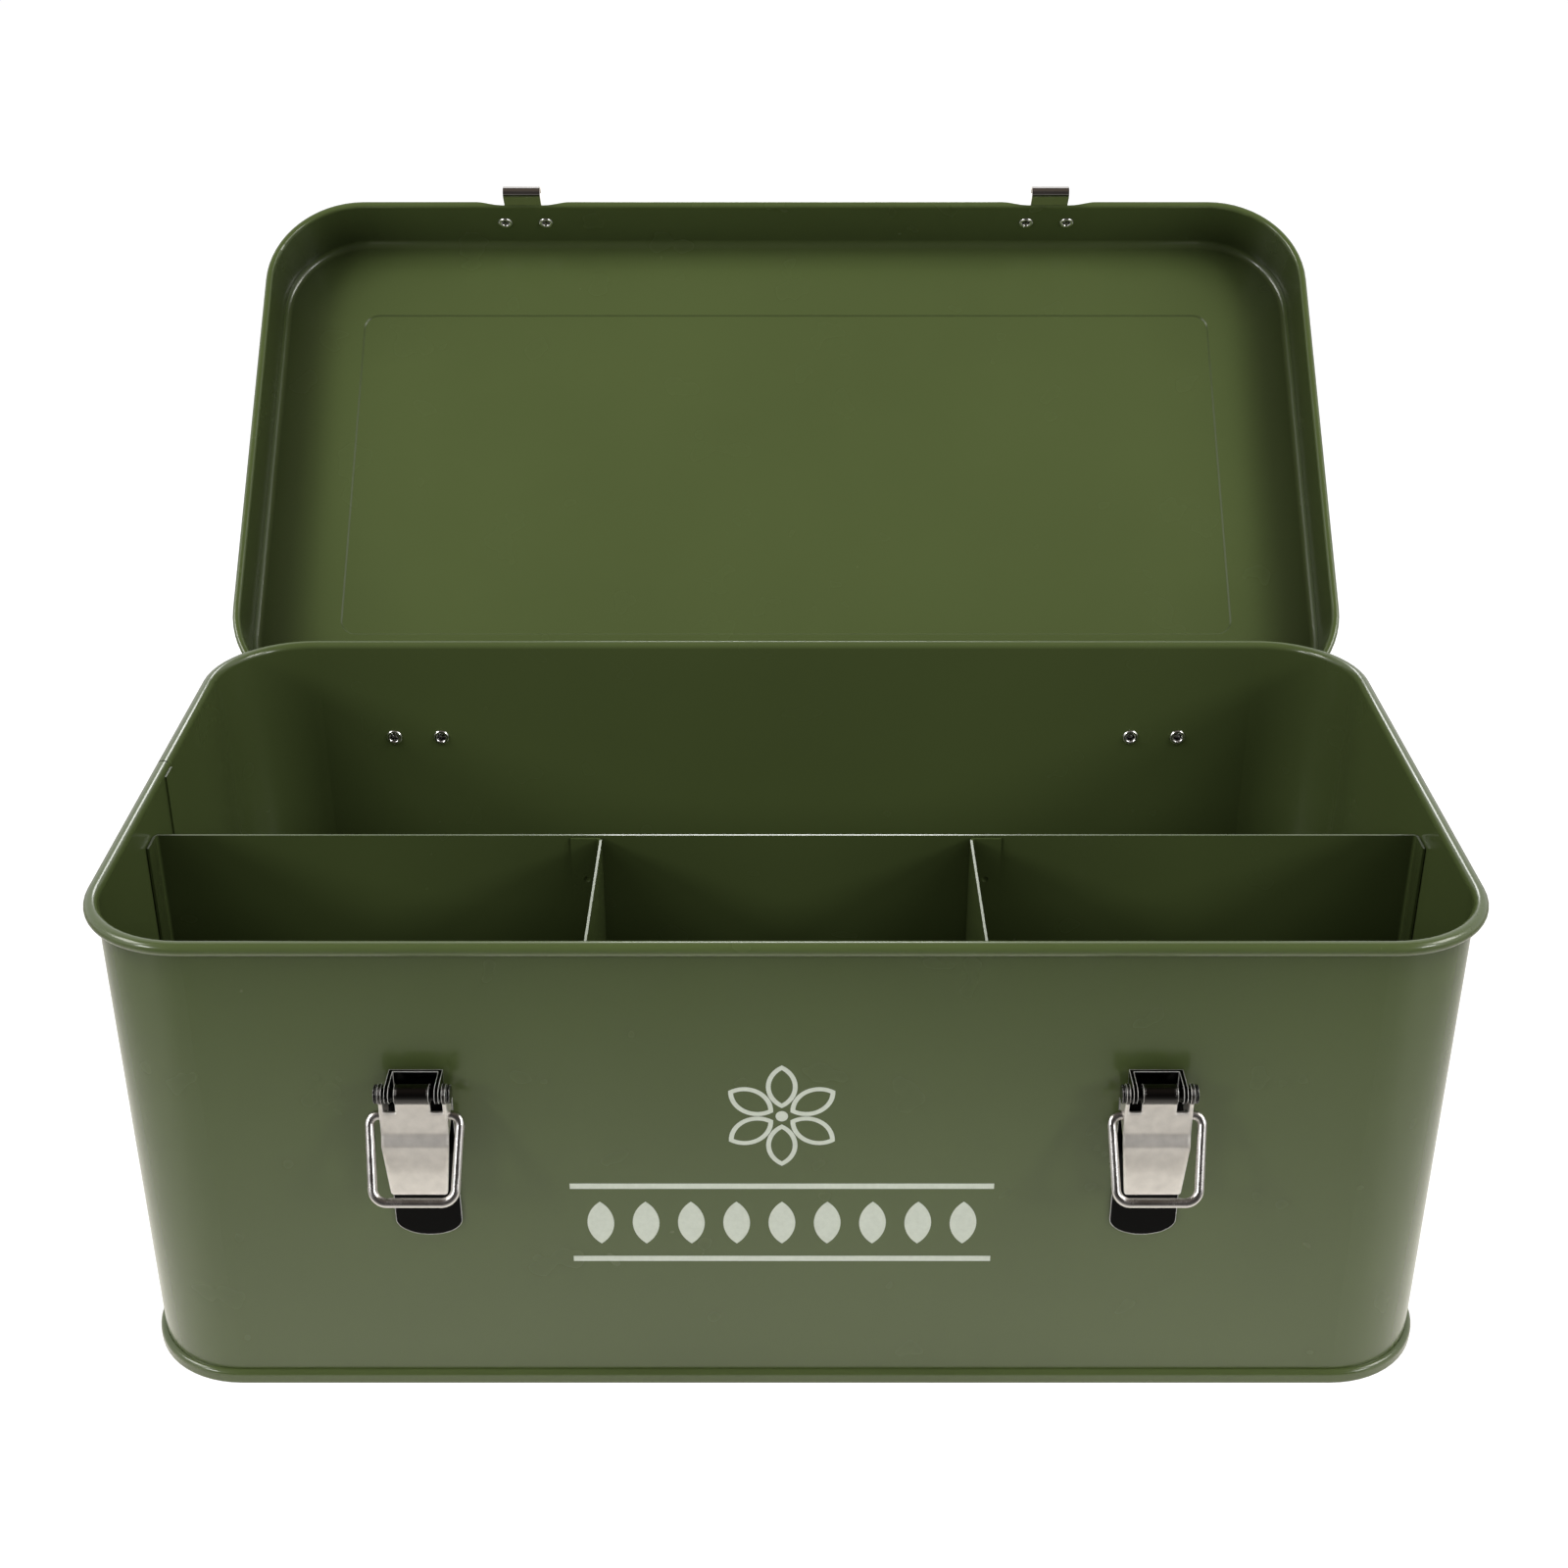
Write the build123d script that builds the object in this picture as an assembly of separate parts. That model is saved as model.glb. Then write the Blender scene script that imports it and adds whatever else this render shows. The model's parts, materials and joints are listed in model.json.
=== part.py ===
"""Garden seed organizer box of painted sheet steel, with a hinged lid and two draw latches.

Sizes are in millimetres. X runs to the right, Y to the back and Z up. The origin is the centre of
the box's footprint, on the plane that it stands on. The lid is drawn shut and then swung open, and
each wire bail is drawn where it leans out from its lever.
"""

import os
from math import asin, atan2, cos, degrees, hypot, radians, sin, tan

from build123d import *

# ---- box ----
body_width = 330.0  # over the side walls
body_depth = 168.0  # over the front and back walls
body_height = 133.4  # from the standing plane to the top of the rim
body_corner = 25.0  # outer radius of the upright corners
sheet = 0.6
rim_bead = 3.6  # outer diameter of the rolled rim
rim_roll = 295.0  # degrees that the rim sheet is rolled through
rim_joint = 0.5  # gap where the two ends of the rolled rim meet
seam_proud = 1.5  # how far the base seam stands out from the walls
seam_height = 3.9
seam_fit = 0.05  # between the walls and the seam round them
seam_round = 1.4  # top edge of the seam
foot_round = 0.8  # edge that the box stands on
lock_seam_width = 6.0
lock_seam_rise = 0.5
lock_seam_place = 3.5  # behind the middle of the left wall

# ---- dividers ----
divider_drop = 10.0  # top edge below the rim
divider_place = 16.0  # rear face in front of the middle of the box
divider_tab = 7.6  # end flange against the side wall
divider_slit = 0.35  # slit between end flange and side wall
cross_place = 48.0  # middle of each cross divider from the middle of the box
cross_drop = 0.7  # top edge below the long divider's
cross_tab = 8.2  # flange against the long divider
cross_gap = 0.3  # between the cross divider and the front wall
bend_radius = 0.8  # inside radius of the folds
weld_radius = 1.6
weld_depth = 0.25
weld_heights = (12.0, 60.0, 110.0)  # above the base sheet

# ---- lid ----
lid_overlap = 20.9  # how far the skirt reaches below the rim
lid_side_gap = 1.3  # between rim bead and skirt at the sides
lid_front_gap = 1.6
lid_rear_gap = 0.4
lid_crown_gap = 0.3  # between rim and the underside of the panel
lid_corner = 28.0  # inner radius of the skirt's upright corners
lid_crown_radius = 2.2  # inside radius from skirt to panel
hem_bead = 2.4  # outer diameter of the rolled hem
hem_roll = 280.0  # degrees that the hem sheet is rolled through
hem_ramp = 13.0  # length over which the pressed hem swells into the roll
hem_press_over = 0.2  # how far the pressing tool's ends stand clear of the roll
panel_side_margin = 26.8  # from the skirt to the raised field of the lid
panel_end_margin = 28.5
panel_corner = 5.0
panel_rise = 0.45
panel_slope = 45.0  # degrees, edge of the raised field
lid_open_angle = 138.6

# ---- hinges ----
hinge_inset = 53.0  # middle of each hinge in from the side wall
hinge_width = 26.0
hinge_sheet = 0.8
hinge_pin_radius = 1.0
hinge_fit = 0.04  # between pin and the lid leaf's knuckle
hinge_skirt_gap = 0.3  # between knuckles and skirt
hinge_press = 0.6  # pressed hem beyond each side of a leaf
hinge_drop = 21.1  # pin below the rim
hinge_knuckle = 12.4  # length of the middle knuckle
hinge_knuckle_gap = 0.25
hinge_sweep_gap = 0.5  # round the turning knuckle
hinge_pin_end = 0.35
hinge_rivet_spacing = 14.3
hinge_body_rivet_drop = 31.1  # below the rim
hinge_body_leaf_drop = 36.4
hinge_step_slope = 38.0  # degrees up from level, where the leaf steps out to the pin
hinge_lid_rivet_rise = 9.0  # above the hem
hinge_lid_leaf_rise = 14.0

# ---- catch plates on the lid ----
latch_inset = 77.0  # middle of each latch in from the side wall
catch_sheet = 0.9
catch_width = 12.3
catch_plate_width = 20.5
catch_plate_round = 1.35
catch_plate_low = 4.5  # above the hem
catch_plate_high = 13.8
catch_rivet_spacing = 13.7
catch_rivet_rise = 9.0
catch_reach = 5.7  # bottom of the hook below the hem
catch_lip = 1.9  # hook's lip above the middle of its bend
catch_press = 0.8  # pressed hem beyond each side of the hook

# ---- rivets ----
rivet_shank = 1.6
rivet_head = 2.5
rivet_head_rise = 0.8
rivet_low_rise = 0.6  # heads behind a lever
rivet_flange = 2.35
rivet_bore = 1.25
rivet_bore_depth = 1.3
rivet_flange_rise = 0.55
rivet_fit = 0.05
drill_length = 5.6  # of the cutter for a rivet's hole, half of it on each side of the sheet's face

# ---- draw latches ----
base_sheet = 0.9
base_width = 16.3
base_reach = 46.5  # lowest point below the pivot
base_round = 4.7  # height of the rounded lower end
base_neck = 5.8  # below the pivot; above this the plate is only as wide as its ears
ear_spacing = 10.8  # between the inner faces of the ears
ear_sheet = 1.0
ear_radius = 2.3
ear_foot = 6.5  # reach of the ear's foot below the pivot
pivot_out = 6.7  # pivot from the front wall
pivot_drop = 38.6  # pivot below the rim
pivot_radius = 1.45
pivot_head = 2.3
pivot_head_thick = 0.9
pivot_head_round = 0.27
pivot_fit = 0.05
base_rivet_drops = (22.8, 9.3)  # below the pivot
lever_sheet = 0.9
lever_width = 16.0
lever_tip_width = 13.5
lever_reach = 27.5  # tip below the pivot
lever_tip_round = 0.8
lever_knuckle = 8.2
lever_notch = 4.5  # top edge of the full width below the pivot
lever_bend = 12.0  # middle of the joggle below the pivot
lever_bend_length = 2.8
lever_bend_round = 1.8
lever_joggle = 1.2  # the lower part stands this much further out
lever_face = 1.5  # outer face of the plate's upper part, out from the pivot
lever_foot_gap = 0.5  # between side flange and base plate
lever_side_gap = 0.15  # between side flange and pin head
lever_open_angle = 122.0
bail_wire = 2.3
bail_width = 24.0  # over the wire at the pivots
bail_far_width = 21.7
bail_pivot_in = 0.7  # bail pivot nearer the wall than the lever pivot
bail_pivot_drop = 6.5
bail_pivot_fit = 0.05
bail_corner = 2.2
bail_far_corner = 3.4
bail_end = 0.3  # wire end past the inside of the flange
bail_seat_fit = 0.15
bail_lean = 30.6  # degrees out from hanging straight down
bail_rest_in = 16.0  # degrees that it can swing back towards the lever

# ---- places worked out from the sizes above ----
front_wall = -body_depth / 2
rear_wall = body_depth / 2
inner_width = body_width - 2 * sheet
inner_depth = body_depth - 2 * sheet
rim_proud = rim_bead - sheet
skirt_half_width = body_width / 2 + rim_proud + lid_side_gap
skirt_front = front_wall - rim_proud - lid_front_gap
skirt_rear = rear_wall + rim_proud + lid_rear_gap
skirt_middle = (skirt_front + skirt_rear) / 2
skirt_half_depth = (skirt_rear - skirt_front) / 2
panel_width = 2 * (skirt_half_width - panel_side_margin)
panel_depth = 2 * (skirt_half_depth - panel_end_margin)
hem_bottom = body_height - lid_overlap
crown_under = body_height + lid_crown_gap
knuckle_radius = hinge_pin_radius + hinge_fit + hinge_sheet
hinge_y = skirt_rear + sheet + hinge_skirt_gap + knuckle_radius
hinge_z = body_height - hinge_drop
hinge_place = body_width / 2 - hinge_inset
latch_place = body_width / 2 - latch_inset
pivot_height = body_height - pivot_drop
lever_tip_height = pivot_height - lever_reach
hook_radius = bail_wire / 2 + bail_seat_fit
hook_out = front_wall - skirt_front + sheet + catch_sheet + hook_radius
hook_z = hem_bottom - catch_reach + catch_sheet + hook_radius
bail_pivot_out = pivot_out - bail_pivot_in
bail_pivot_height = pivot_height - bail_pivot_drop
bail_length = hypot(hook_out - bail_pivot_out, hook_z - bail_pivot_height)
lever_barrel = pivot_radius + pivot_fit + lever_sheet
divider_front = -divider_place - sheet
divider_height = body_height - divider_drop - sheet


# ---- drawing helpers ----
def facing_front(x=0.0):
    """A plane across the box at x: its first axis runs out of the front wall, its second up."""
    return Plane(origin=(x, front_wall, 0), x_dir=(0, -1, 0), z_dir=(-1, 0, 0))


def facing_rear(x=0.0):
    """A plane across the box at x: its first axis runs out of the back wall, its second up."""
    return Plane(origin=(x, rear_wall, 0), x_dir=(0, 1, 0), z_dir=(1, 0, 0))


def outline(*points):
    return make_face(Polyline(*points, close=True))


def slab(low_x, high_x, low_y, high_y):
    """A rectangle between two pairs of limits."""
    return Pos((low_x + high_x) / 2, (low_y + high_y) / 2) * Rectangle(high_x - low_x, high_y - low_y)


def rolled(centre, radius, thickness, start, turn):
    """Sheet rolled about a centre: a strip between two arcs."""
    outer = CenterArc(centre, radius, start, turn)
    inner = CenterArc(centre, radius - thickness, start, turn)
    return make_face([outer, Line(outer @ 1, inner @ 1), inner, Line(inner @ 0, outer @ 0)])


def box_between(low, high):
    size = [b - a for a, b in zip(low, high)]
    middle = [(a + b) / 2 for a, b in zip(low, high)]
    return Pos(*middle) * Box(*size)


def across(face, plane, half_length, middle=0.0):
    """Extrudes a face drawn on a plane to both sides, from a middle point along the plane's normal."""
    return plane * Pos(0, 0, middle) * extrude(face, amount=half_length, both=True)


def round_block(width, depth, corner, low, high):
    """A block with round upright corners."""
    return Pos(0, 0, low) * extrude(RectangleRounded(width, depth, corner), amount=high - low)


def belt(profile, half_x, half_y, corner):
    """Carries a profile, drawn outwards and up, round a rectangle with round corners."""
    runs = []
    for quarter, half_run, reach in (
        (0, half_x - corner, half_y),
        (1, half_y - corner, half_x),
        (2, half_x - corner, half_y),
        (3, half_y - corner, half_x),
    ):
        start = Plane(origin=(half_run, -reach, 0), x_dir=(0, -1, 0), z_dir=(-1, 0, 0))
        turn = Rot(0, 0, 90 * quarter)
        placed = start * profile
        axis = Axis((half_run, corner - reach, 0), (0, 0, 1))
        runs.append(turn * extrude(placed, amount=2 * half_run))
        runs.append(turn * revolve(placed, axis=axis, revolution_arc=90))
    return runs[0].fuse(*runs[1:])


def rivet(grip, head_rise=rivet_head_rise):
    """A tubular rivet along Z: head above 0, sheets down to -grip, rolled end below them."""
    sphere = (rivet_head**2 + head_rise**2) / (2 * head_rise)
    half = asin(rivet_head / sphere) / 2
    dome_middle = (sphere * sin(half), head_rise - sphere + sphere * cos(half))
    rolled_middle = ((rivet_flange + rivet_bore) / 2, -grip - rivet_flange_rise)
    bore_top = -grip + rivet_bore_depth
    edges = [
        ThreePointArc((rivet_head, 0), dome_middle, (0, head_rise)),
        Polyline((rivet_head, 0), (rivet_shank, 0), (rivet_shank, -grip), (rivet_flange, -grip)),
        ThreePointArc((rivet_flange, -grip), rolled_middle, (rivet_bore, -grip)),
        Polyline((rivet_bore, -grip), (rivet_bore, bore_top), (0, bore_top), (0, head_rise)),
    ]
    return revolve(Plane.XZ * make_face(edges), axis=Axis.Z)


def fastened(places, surface, outward, grip, head_rise=rivet_head_rise):
    """Rivets at (x, z) places, their heads on a surface that faces +1 back or -1 front."""
    turn = Rot(-90 * outward, 0, 0)
    return [Pos(x, surface, z) * turn * rivet(grip, head_rise) for x, z in places]


def drilled(shape, places, surface):
    """Cuts clearance holes for rivets through the sheets near a surface that faces front or back."""
    hole = Rot(90, 0, 0) * Cylinder(rivet_shank + rivet_fit, drill_length)
    for x, z in places:
        shape = shape - Pos(x, surface, z) * hole
    return shape


def pair_at(x, spacing, height):
    return [(x - spacing / 2, height), (x + spacing / 2, height)]


# ---- box ----
def hinge_body_rivet_places(x):
    return pair_at(x, hinge_rivet_spacing, body_height - hinge_body_rivet_drop)


def latch_rivet_places(x):
    return [(x, pivot_height - drop) for drop in base_rivet_drops]


def body_wrapper():
    """The four walls, with the rolled rim, the lock seam and the holes for rivets."""
    radius = rim_bead / 2
    centre_z = body_height - radius
    wall = slab(0, sheet, sheet, centre_z)
    roll = rolled((radius, centre_z), radius, sheet, 180, -rim_roll)
    walls = belt(wall + roll, inner_width / 2, inner_depth / 2, body_corner - sheet)
    seam_y = lock_seam_place
    inner_x = -inner_width / 2
    seam_low = (inner_x, seam_y - lock_seam_width / 2, sheet)
    seam_high = (inner_x + lock_seam_rise, seam_y + lock_seam_width / 2, centre_z)
    walls = walls + box_between(seam_low, seam_high)
    joint_y = seam_y + lock_seam_width / 2
    joint_low = (inner_x - rim_bead - sheet, joint_y - rim_joint / 2, centre_z - radius - sheet)
    joint_high = (inner_x - sheet, joint_y + rim_joint / 2, body_height + sheet)
    walls = walls - box_between(joint_low, joint_high)
    for side in (-1, 1):
        walls = drilled(walls, hinge_body_rivet_places(side * hinge_place), rear_wall)
        walls = drilled(walls, latch_rivet_places(side * latch_place), front_wall)
    return walls


def base_pan():
    """The base sheet, with its edge folded up as a seam round the foot of the walls."""
    proud = 2 * seam_proud
    block = round_block(body_width + proud, body_depth + proud, body_corner + seam_proud, 0, seam_height)
    block = fillet(block.edges().group_by(Axis.Z)[-1], seam_round)
    block = fillet(block.edges().group_by(Axis.Z)[0], foot_round)
    fit = 2 * seam_fit
    pocket = round_block(body_width + fit, body_depth + fit, body_corner + seam_fit, sheet, 2 * seam_height)
    return block - pocket


def folded(length, tab, height):
    """Sheet standing on its edge: a leaf along X from 0, its last edge folded to -Y as a tab."""
    outside = bend_radius + sheet
    leaf = slab(0, length - outside, -sheet, 0)
    bend = rolled((length - outside, -outside), outside, sheet, 90, -90)
    flange = slab(length - sheet, length, -tab, -outside)
    return extrude(leaf + bend + flange, amount=height)


def long_divider():
    """The wall between the rear compartment and the front ones, its ends folded forwards."""
    half_length = inner_width / 2 - divider_slit
    half = folded(half_length, divider_tab, divider_height)
    whole = half + mirror(half, about=Plane.YZ)
    return Pos(0, -divider_place, sheet) * whole


def cross_divider(side):
    """A wall from the long divider to the front wall, folded away from the middle of the box."""
    front = front_wall + sheet + cross_gap
    leaf = folded(divider_front - front, cross_tab, divider_height - cross_drop)
    right = Pos(cross_place - sheet / 2, front, sheet) * Rot(0, 0, 90) * leaf
    for height in weld_heights:
        deep = divider_front - sheet - weld_radius + weld_depth
        right = right - Pos(cross_place + cross_tab / 2, deep, sheet + height) * Sphere(weld_radius)
    return right if side > 0 else mirror(right, about=Plane.YZ)


# ---- lid, drawn shut ----
def hinge_lid_rivet_places(x):
    return pair_at(x, hinge_rivet_spacing, hem_bottom + hinge_lid_rivet_rise)


def catch_rivet_places(x):
    return pair_at(x, catch_rivet_spacing, hem_bottom + catch_rivet_rise)


def press_cut(x, half_width, outward):
    """What is taken from the rolled hem where it is pressed flat under a leaf or a hook."""
    near = sheet
    far = hem_bead + hem_press_over
    wide = half_width + hem_ramp
    level = ((1, 0), (1, 0))
    edges = [
        Line((-half_width, near), (half_width, near)),
        Spline((half_width, near), (wide, far), tangents=level),
        Line((wide, far), (-wide, far)),
        Spline((-wide, far), (-half_width, near), tangents=level),
    ]
    block = extrude(make_face(edges), amount=2 * hem_bead)
    surface = skirt_rear if outward > 0 else skirt_front
    turn = Rot(0, 0, 0) if outward > 0 else Rot(0, 0, 180)
    return Pos(x, surface, hem_bottom - hem_bead / 2) * turn * block


def lid_shell():
    """The lid: panel with a raised field, skirt, and a hem that is pressed flat at the fittings."""
    radius = hem_bead / 2
    crown = lid_crown_radius
    centre_z = hem_bottom + radius
    skirt = slab(0, sheet, centre_z, crown_under - crown)
    shoulder = rolled((-crown, crown_under - crown), crown + sheet, sheet, 0, 90)
    roll = rolled((radius, centre_z), radius, sheet, 180, hem_roll)
    shell = belt(skirt + shoulder + roll, skirt_half_width, skirt_half_depth, lid_corner)
    flat_x = skirt_half_width - crown
    flat_y = skirt_half_depth - crown
    flat = round_block(2 * flat_x, 2 * flat_y, lid_corner - crown, crown_under, crown_under + sheet)
    field = RectangleRounded(panel_width, panel_depth, panel_corner)
    raised = extrude(field, amount=panel_rise, taper=panel_slope)
    shell = shell + flat + Pos(0, 0, crown_under + sheet) * raised
    shell = shell - Pos(0, 0, crown_under) * raised
    shell = Pos(0, skirt_middle, 0) * shell
    for side in (-1, 1):
        hook_half = catch_width / 2 + catch_press
        leaf_half = hinge_width / 2 + hinge_press
        shell = shell - press_cut(side * latch_place, hook_half, -1)
        shell = shell - press_cut(side * hinge_place, leaf_half, 1)
        shell = drilled(shell, catch_rivet_places(side * latch_place), skirt_front)
        shell = drilled(shell, hinge_lid_rivet_places(side * hinge_place), skirt_rear)
    return shell


def catch_plate(x):
    """A plate on the front skirt with a narrower hook that opens upwards."""
    near = front_wall - skirt_front + sheet
    far = near + catch_sheet
    high = hem_bottom + catch_plate_high
    tongue = slab(near, far, hook_z, high)
    bend = rolled((hook_out, hook_z), hook_radius + catch_sheet, catch_sheet, 180, 180)
    lip_near = hook_out + hook_radius
    lip = slab(lip_near, lip_near + catch_sheet, hook_z, hook_z + catch_lip)
    hook = across(tongue + bend + lip, facing_front(x), catch_width / 2)
    plate_low = hem_bottom + catch_plate_low
    plate = RectangleRounded(catch_plate_width, high - plate_low, catch_plate_round)
    flat = extrude(plate, amount=catch_sheet)
    wide = Pos(x, front_wall - near, (high + plate_low) / 2) * Rot(90, 0, 0) * flat
    return drilled(hook + wide, catch_rivet_places(x), skirt_front)


def catch_rivets(x):
    grip = sheet + catch_sheet
    return fastened(catch_rivet_places(x), skirt_front - grip, -1, grip)


# ---- hinges ----
def knuckle(half_length, radius=knuckle_radius):
    """A cylinder on the hinge axis, along X."""
    return Pos(0, hinge_y, hinge_z) * Rot(0, 90, 0) * Cylinder(radius, 2 * half_length)


def hinge_body_leaf(x):
    """The leaf on the back wall: it steps out under the knuckles and rolls round the pin."""
    pin_out = hinge_y - rear_wall
    half = hinge_sheet / 2
    middle = knuckle_radius - half
    slope = radians(hinge_step_slope)
    touch = (pin_out + middle * sin(slope), hinge_z - middle * cos(slope))
    knee = touch[1] - (touch[0] - half) * tan(slope)
    mitre = half * (1 - sin(slope)) / cos(slope)
    aside = (half * sin(slope), -half * cos(slope))
    low = body_height - hinge_body_leaf_drop
    leg = outline(
        (0, low),
        (hinge_sheet, low),
        (hinge_sheet, knee - mitre),
        (touch[0] + aside[0], touch[1] + aside[1]),
        (touch[0] - aside[0], touch[1] - aside[1]),
        (0, knee + mitre),
    )
    leaf = across(leg + Pos(pin_out, hinge_z) * Circle(knuckle_radius), facing_rear(x), hinge_width / 2)
    lid_share = hinge_knuckle / 2 + hinge_knuckle_gap
    leaf = leaf - Pos(x, 0, 0) * knuckle(lid_share, knuckle_radius + hinge_sweep_gap)
    leaf = leaf - Pos(x, 0, 0) * knuckle(hinge_width, hinge_pin_radius)
    return drilled(leaf, hinge_body_rivet_places(x), rear_wall)


def hinge_lid_leaf(x):
    """The leaf on the lid's rear skirt, with the middle knuckle."""
    near = skirt_rear + sheet - rear_wall
    far = near + hinge_sheet
    clear = knuckle_radius + hinge_sweep_gap
    shoulder = hinge_z + clear
    high = hem_bottom + hinge_lid_leaf_rise
    wide = across(slab(near, far, shoulder, high), facing_rear(x), hinge_width / 2)
    roll = Pos(hinge_y - rear_wall, hinge_z) * Circle(knuckle_radius)
    neck = across(slab(near, far, hinge_z, shoulder) + roll, facing_rear(x), hinge_knuckle / 2)
    leaf = wide + neck
    leaf = leaf - Pos(x, 0, 0) * knuckle(hinge_width, hinge_pin_radius + hinge_fit)
    return drilled(leaf, hinge_lid_rivet_places(x), skirt_rear)


def hinge_pin(x):
    return Pos(x, 0, 0) * knuckle(hinge_width / 2 + hinge_pin_end, hinge_pin_radius)


def hinge_body_rivets(x):
    grip = sheet + hinge_sheet
    return fastened(hinge_body_rivet_places(x), rear_wall + hinge_sheet, 1, grip)


def hinge_lid_rivets(x):
    grip = sheet + hinge_sheet
    return fastened(hinge_lid_rivet_places(x), skirt_rear + grip, 1, grip)


# ---- draw latches ----
def latch_base(x):
    """The plate on the front wall, with two ears bent out to hold the pivot pin."""
    half = base_width / 2
    ear_outer = ear_spacing / 2 + ear_sheet
    top = pivot_height + ear_radius
    round_z = pivot_height - base_reach + base_round
    neck_z = pivot_height - base_neck
    edges = [
        EllipticalCenterArc((0, round_z), half, base_round, start_angle=180, arc_size=180),
        Polyline(
            (half, round_z),
            (half, neck_z),
            (ear_outer, neck_z),
            (ear_outer, top),
            (-ear_outer, top),
            (-ear_outer, neck_z),
            (-half, neck_z),
            (-half, round_z),
        ),
    ]
    plate = Pos(x, front_wall, 0) * Rot(90, 0, 0) * extrude(make_face(edges), amount=base_sheet)
    ear_face = outline(
        (base_sheet / 2, top),
        (pivot_out, top),
        (pivot_out + ear_radius, pivot_height),
        (pivot_out, pivot_height - ear_radius),
        (base_sheet / 2, pivot_height - ear_foot),
    )
    ear_face = ear_face + Pos(pivot_out, pivot_height) * Circle(ear_radius)
    ear_face = ear_face - Pos(pivot_out, pivot_height) * Circle(pivot_radius)
    base = plate
    for side in (-1, 1):
        base = base + across(ear_face, facing_front(x + side * (ear_spacing + ear_sheet) / 2), ear_sheet / 2)
    return drilled(base, latch_rivet_places(x), front_wall)


def latch_base_rivets(x):
    grip = sheet + base_sheet
    return fastened(latch_rivet_places(x), front_wall - base_sheet, -1, grip, rivet_low_rise)


def latch_pin(x):
    """The pivot pin, with a head outside each side flange of the lever."""
    flange_outer = lever_width / 2 + lever_side_gap
    shank = Cylinder(pivot_radius, 2 * flange_outer)
    head = Cylinder(pivot_head, pivot_head_thick)
    head = fillet(head.edges(), pivot_head_round)
    pin = shank
    for side in (-1, 1):
        pin = pin + Pos(0, 0, side * (flange_outer + pivot_head_thick / 2)) * head
    return Pos(x, front_wall - pivot_out, pivot_height) * Rot(0, 90, 0) * pin


def latch_lever(x):
    """The lever: a stepped plate rolled round the pin, with two side flanges that carry the bail."""
    outer = pivot_out + lever_face
    inner = outer - lever_sheet
    front = pivot_out + lever_barrel
    bend_high = pivot_height - lever_bend + lever_bend_length / 2
    bend_low = bend_high - lever_bend_length
    side_face = outline(
        (outer, pivot_height),
        (outer, bend_high),
        (outer + lever_joggle, bend_low),
        (outer + lever_joggle, lever_tip_height),
        (inner + lever_joggle, lever_tip_height),
        (inner + lever_joggle, bend_low),
        (inner, bend_high),
        (inner, pivot_height),
    )
    bends = [v for v in side_face.vertices() if bend_low - lever_sheet < v.Y < bend_high + lever_sheet]
    side_face = fillet(bends, lever_bend_round)
    strip = across(side_face, facing_front(x), lever_width / 2)
    half = lever_width / 2
    half_tip = lever_tip_width / 2
    notch_z = pivot_height - lever_notch
    front_face = outline(
        (-half, notch_z),
        (-half, bend_low),
        (-half_tip, lever_tip_height),
        (half_tip, lever_tip_height),
        (half, bend_low),
        (half, notch_z),
    )
    tips = front_face.vertices().group_by(Axis.Y)[0]
    front_face = fillet(tips, lever_tip_round)
    tongue = slab(-lever_knuckle / 2, lever_knuckle / 2, bend_low, pivot_height)
    stamp = extrude(front_face + tongue, amount=2 * front)
    plate = strip & (Pos(x, front_wall, 0) * Rot(90, 0, 0) * stamp)
    pivot = Pos(pivot_out, pivot_height)
    barrel = across(pivot * Circle(lever_barrel), facing_front(x), lever_knuckle / 2)
    foot = base_sheet + lever_foot_gap
    flange = outline(
        (outer, pivot_height),
        (outer, bend_high),
        (inner, bend_high - lever_sheet),
        (foot + lever_sheet, bail_pivot_height - bail_wire),
        (foot, bail_pivot_height - bail_wire / 2),
        (foot, bail_pivot_height + bail_wire / 2),
        (pivot_out - lever_barrel, pivot_height),
    )
    flange = flange + pivot * Circle(lever_barrel)
    flange = flange - Pos(bail_pivot_out, bail_pivot_height) * Circle(bail_wire / 2 + bail_pivot_fit)
    lever = plate + barrel
    for side in (-1, 1):
        at = facing_front(x + side * (half - lever_sheet / 2))
        lever = lever + across(flange, at, lever_sheet / 2)
    bore = Rot(0, 90, 0) * Cylinder(pivot_radius + pivot_fit, 2 * lever_width)
    return lever - Pos(x, front_wall - pivot_out, pivot_height) * bore


def latch_bail(x):
    """The wire loop, drawn leaning out from the lever that carries its two bent-in ends."""
    half = (bail_width - bail_wire) / 2
    half_far = (bail_far_width - bail_wire) / 2
    end = lever_width / 2 - lever_sheet - bail_end
    corners = [bail_corner, bail_far_corner, bail_far_corner, bail_corner]
    route = FilletPolyline(
        (-end, 0),
        (-half, 0),
        (-half_far, bail_length),
        (half_far, bail_length),
        (half, 0),
        (end, 0),
        radius=corners,
    )
    section = Plane(origin=route @ 0, z_dir=route % 0) * Circle(bail_wire / 2)
    wire = sweep(section, path=route)
    lean = radians(bail_lean)
    pivot = (x, front_wall - bail_pivot_out, bail_pivot_height)
    return Plane(origin=pivot, x_dir=(1, 0, 0), z_dir=(0, cos(lean), -sin(lean))) * wire


# ---- the whole box ----
def opened(shape):
    """Swings a piece of the shut lid to where the lid rests open."""
    axis = Axis((0, hinge_y, hinge_z), (1, 0, 0))
    return shape.rotate(axis, -lid_open_angle)


def grouped(shapes):
    return Compound(children=list(shapes))


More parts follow.
